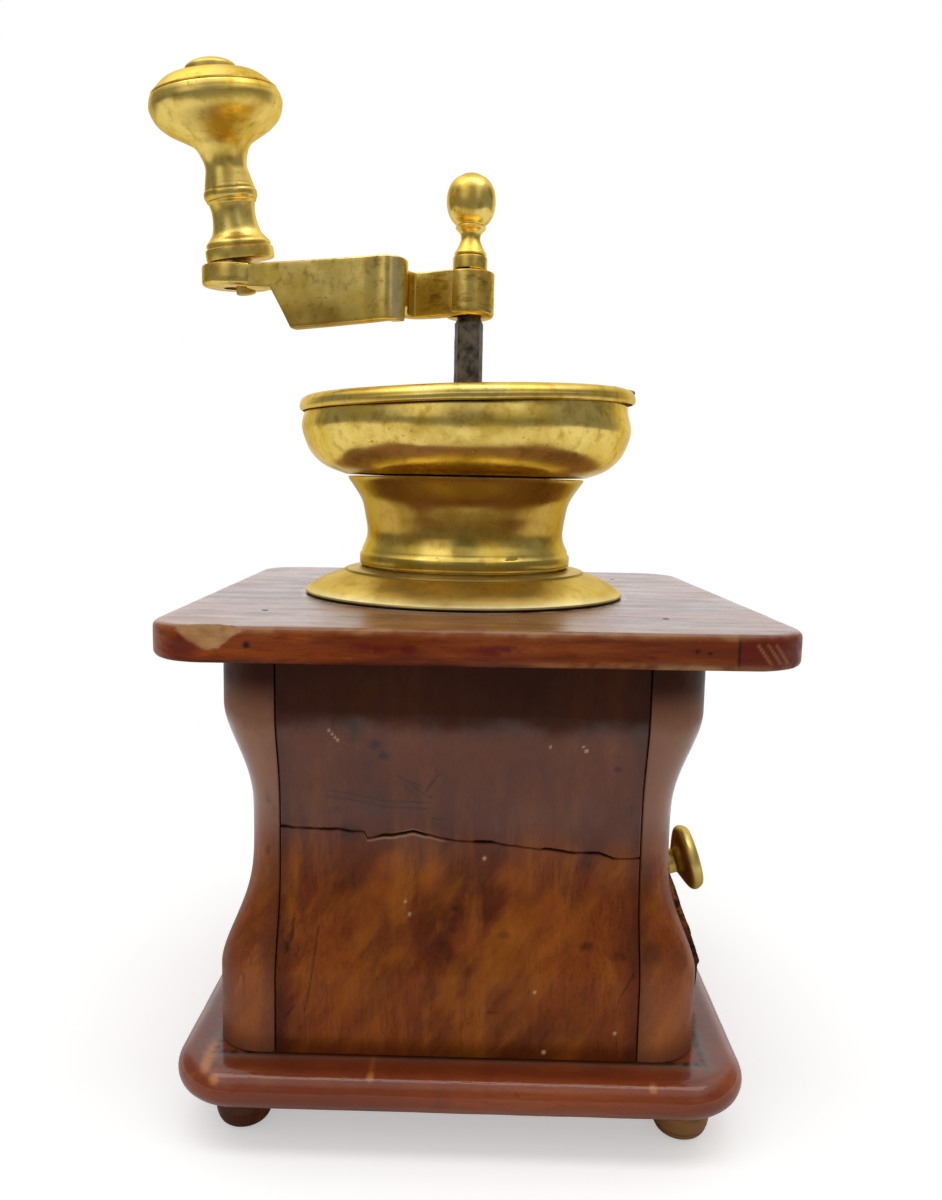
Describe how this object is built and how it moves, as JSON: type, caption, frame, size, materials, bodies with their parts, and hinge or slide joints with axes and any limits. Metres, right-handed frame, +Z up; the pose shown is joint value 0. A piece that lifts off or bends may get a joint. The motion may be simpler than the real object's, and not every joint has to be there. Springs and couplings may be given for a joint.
{
  "type": "box coffee mill",
  "caption": "Wooden box hand mill with a waisted body, side drawer, lidded brass hopper and crank that turns a cone burr.",
  "frame": {"origin": "where the crank shaft's axis meets the underside of the base board; the feet reach below it", "axes": "+Z up along the shaft, +X to the drawer's side, -Y to the side that faces the viewer"},
  "size_m": [0.1592, 0.1458, 0.2607],
  "materials": {
    "stained_wood": "dark red-brown shellac, worn at the arrises",
    "worn_wood": "stained and rubbed, low sheen",
    "raw_wood": "planed, unfinished",
    "brass": "polished, with patina and small dents",
    "dull_brass": "dull patina",
    "iron": "dark forged iron",
    "cast_iron": "rough casting"
  },
  "bodies": {
    "mill": {"base_board": "stained_wood", "post_front_left": "stained_wood", "post_front_right": "stained_wood", "post_rear_left": "stained_wood", "post_rear_right": "stained_wood", "front_panel": "stained_wood", "rear_panel": "stained_wood", "left_panel": "stained_wood", "right_panel": "stained_wood", "top_board": "stained_wood", "foot_front_left": "worn_wood", "foot_front_right": "worn_wood", "foot_rear_left": "worn_wood", "foot_rear_right": "worn_wood", "divider_board": "raw_wood", "cleat_front": "raw_wood", "cleat_rear": "raw_wood", "hopper_neck": "brass", "hopper_bowl": "brass", "hopper_flange": "dull_brass", "base_screw_front_left": "iron", "base_screw_front_right": "iron", "base_screw_rear_left": "iron", "base_screw_rear_right": "iron", "top_nail_front_left": "iron", "top_nail_front_right": "iron", "top_nail_rear_left": "iron", "top_nail_rear_right": "iron", "burr_screw_left": "iron", "burr_screw_right": "iron", "lock_nut": "iron", "bridge_rivet_front": "iron", "bridge_rivet_rear": "iron", "burr_ring": "cast_iron", "stirrup": "cast_iron", "bearing_bridge": "cast_iron"},
    "drive": {"drive_shaft": "iron", "cone_burr": "cast_iron", "cone_pin": "iron", "crank_arm": "brass", "finial_nut": "brass", "knob_spindle": "iron"},
    "knob": {"crank_knob": "brass"},
    "lid": {"lid_cover": "brass"},
    "shutter": {"lid_shutter": "brass", "lid_handle": "iron"},
    "drawer": {"drawer_front": "worn_wood", "drawer_side_front": "raw_wood", "drawer_side_rear": "raw_wood", "drawer_back": "raw_wood", "drawer_bottom": "raw_wood", "drawer_knob": "dull_brass", "drawer_knob_screw": "iron"},
    "adjuster": {"adjusting_screw": "iron"}
  },
  "joints": [
    {"name": "crank_turn", "type": "hinge", "parent": "mill", "child": "drive", "pos_m": [0, 0, 0], "axis": [0, 0, 1], "continuous": true},
    {"name": "knob_spin", "type": "hinge", "parent": "drive", "child": "knob", "pos_m": [-0.0616, -0.0006, 0.1993], "axis": [-0.1236, -0.1467, 0.9814], "continuous": true},
    {"name": "lid_lift", "type": "slide", "parent": "mill", "child": "lid", "axis": [0, 0, 1], "range_m": [0, 0.01]},
    {"name": "shutter_turn", "type": "hinge", "parent": "lid", "child": "shutter", "pos_m": [0, 0, 0.16648], "axis": [-0.0366, -0.0314, 0.9988], "range_deg": [0, 170]},
    {"name": "drawer_slide", "type": "slide", "parent": "mill", "child": "drawer", "axis": [1, 0, 0], "range_m": [0, 0.075]},
    {"name": "adjust_screw_turn", "type": "hinge", "parent": "mill", "child": "adjuster", "pos_m": [0, 0, 0.07], "axis": [0, 0, 1], "range_deg": [-90, 90]}
  ]
}
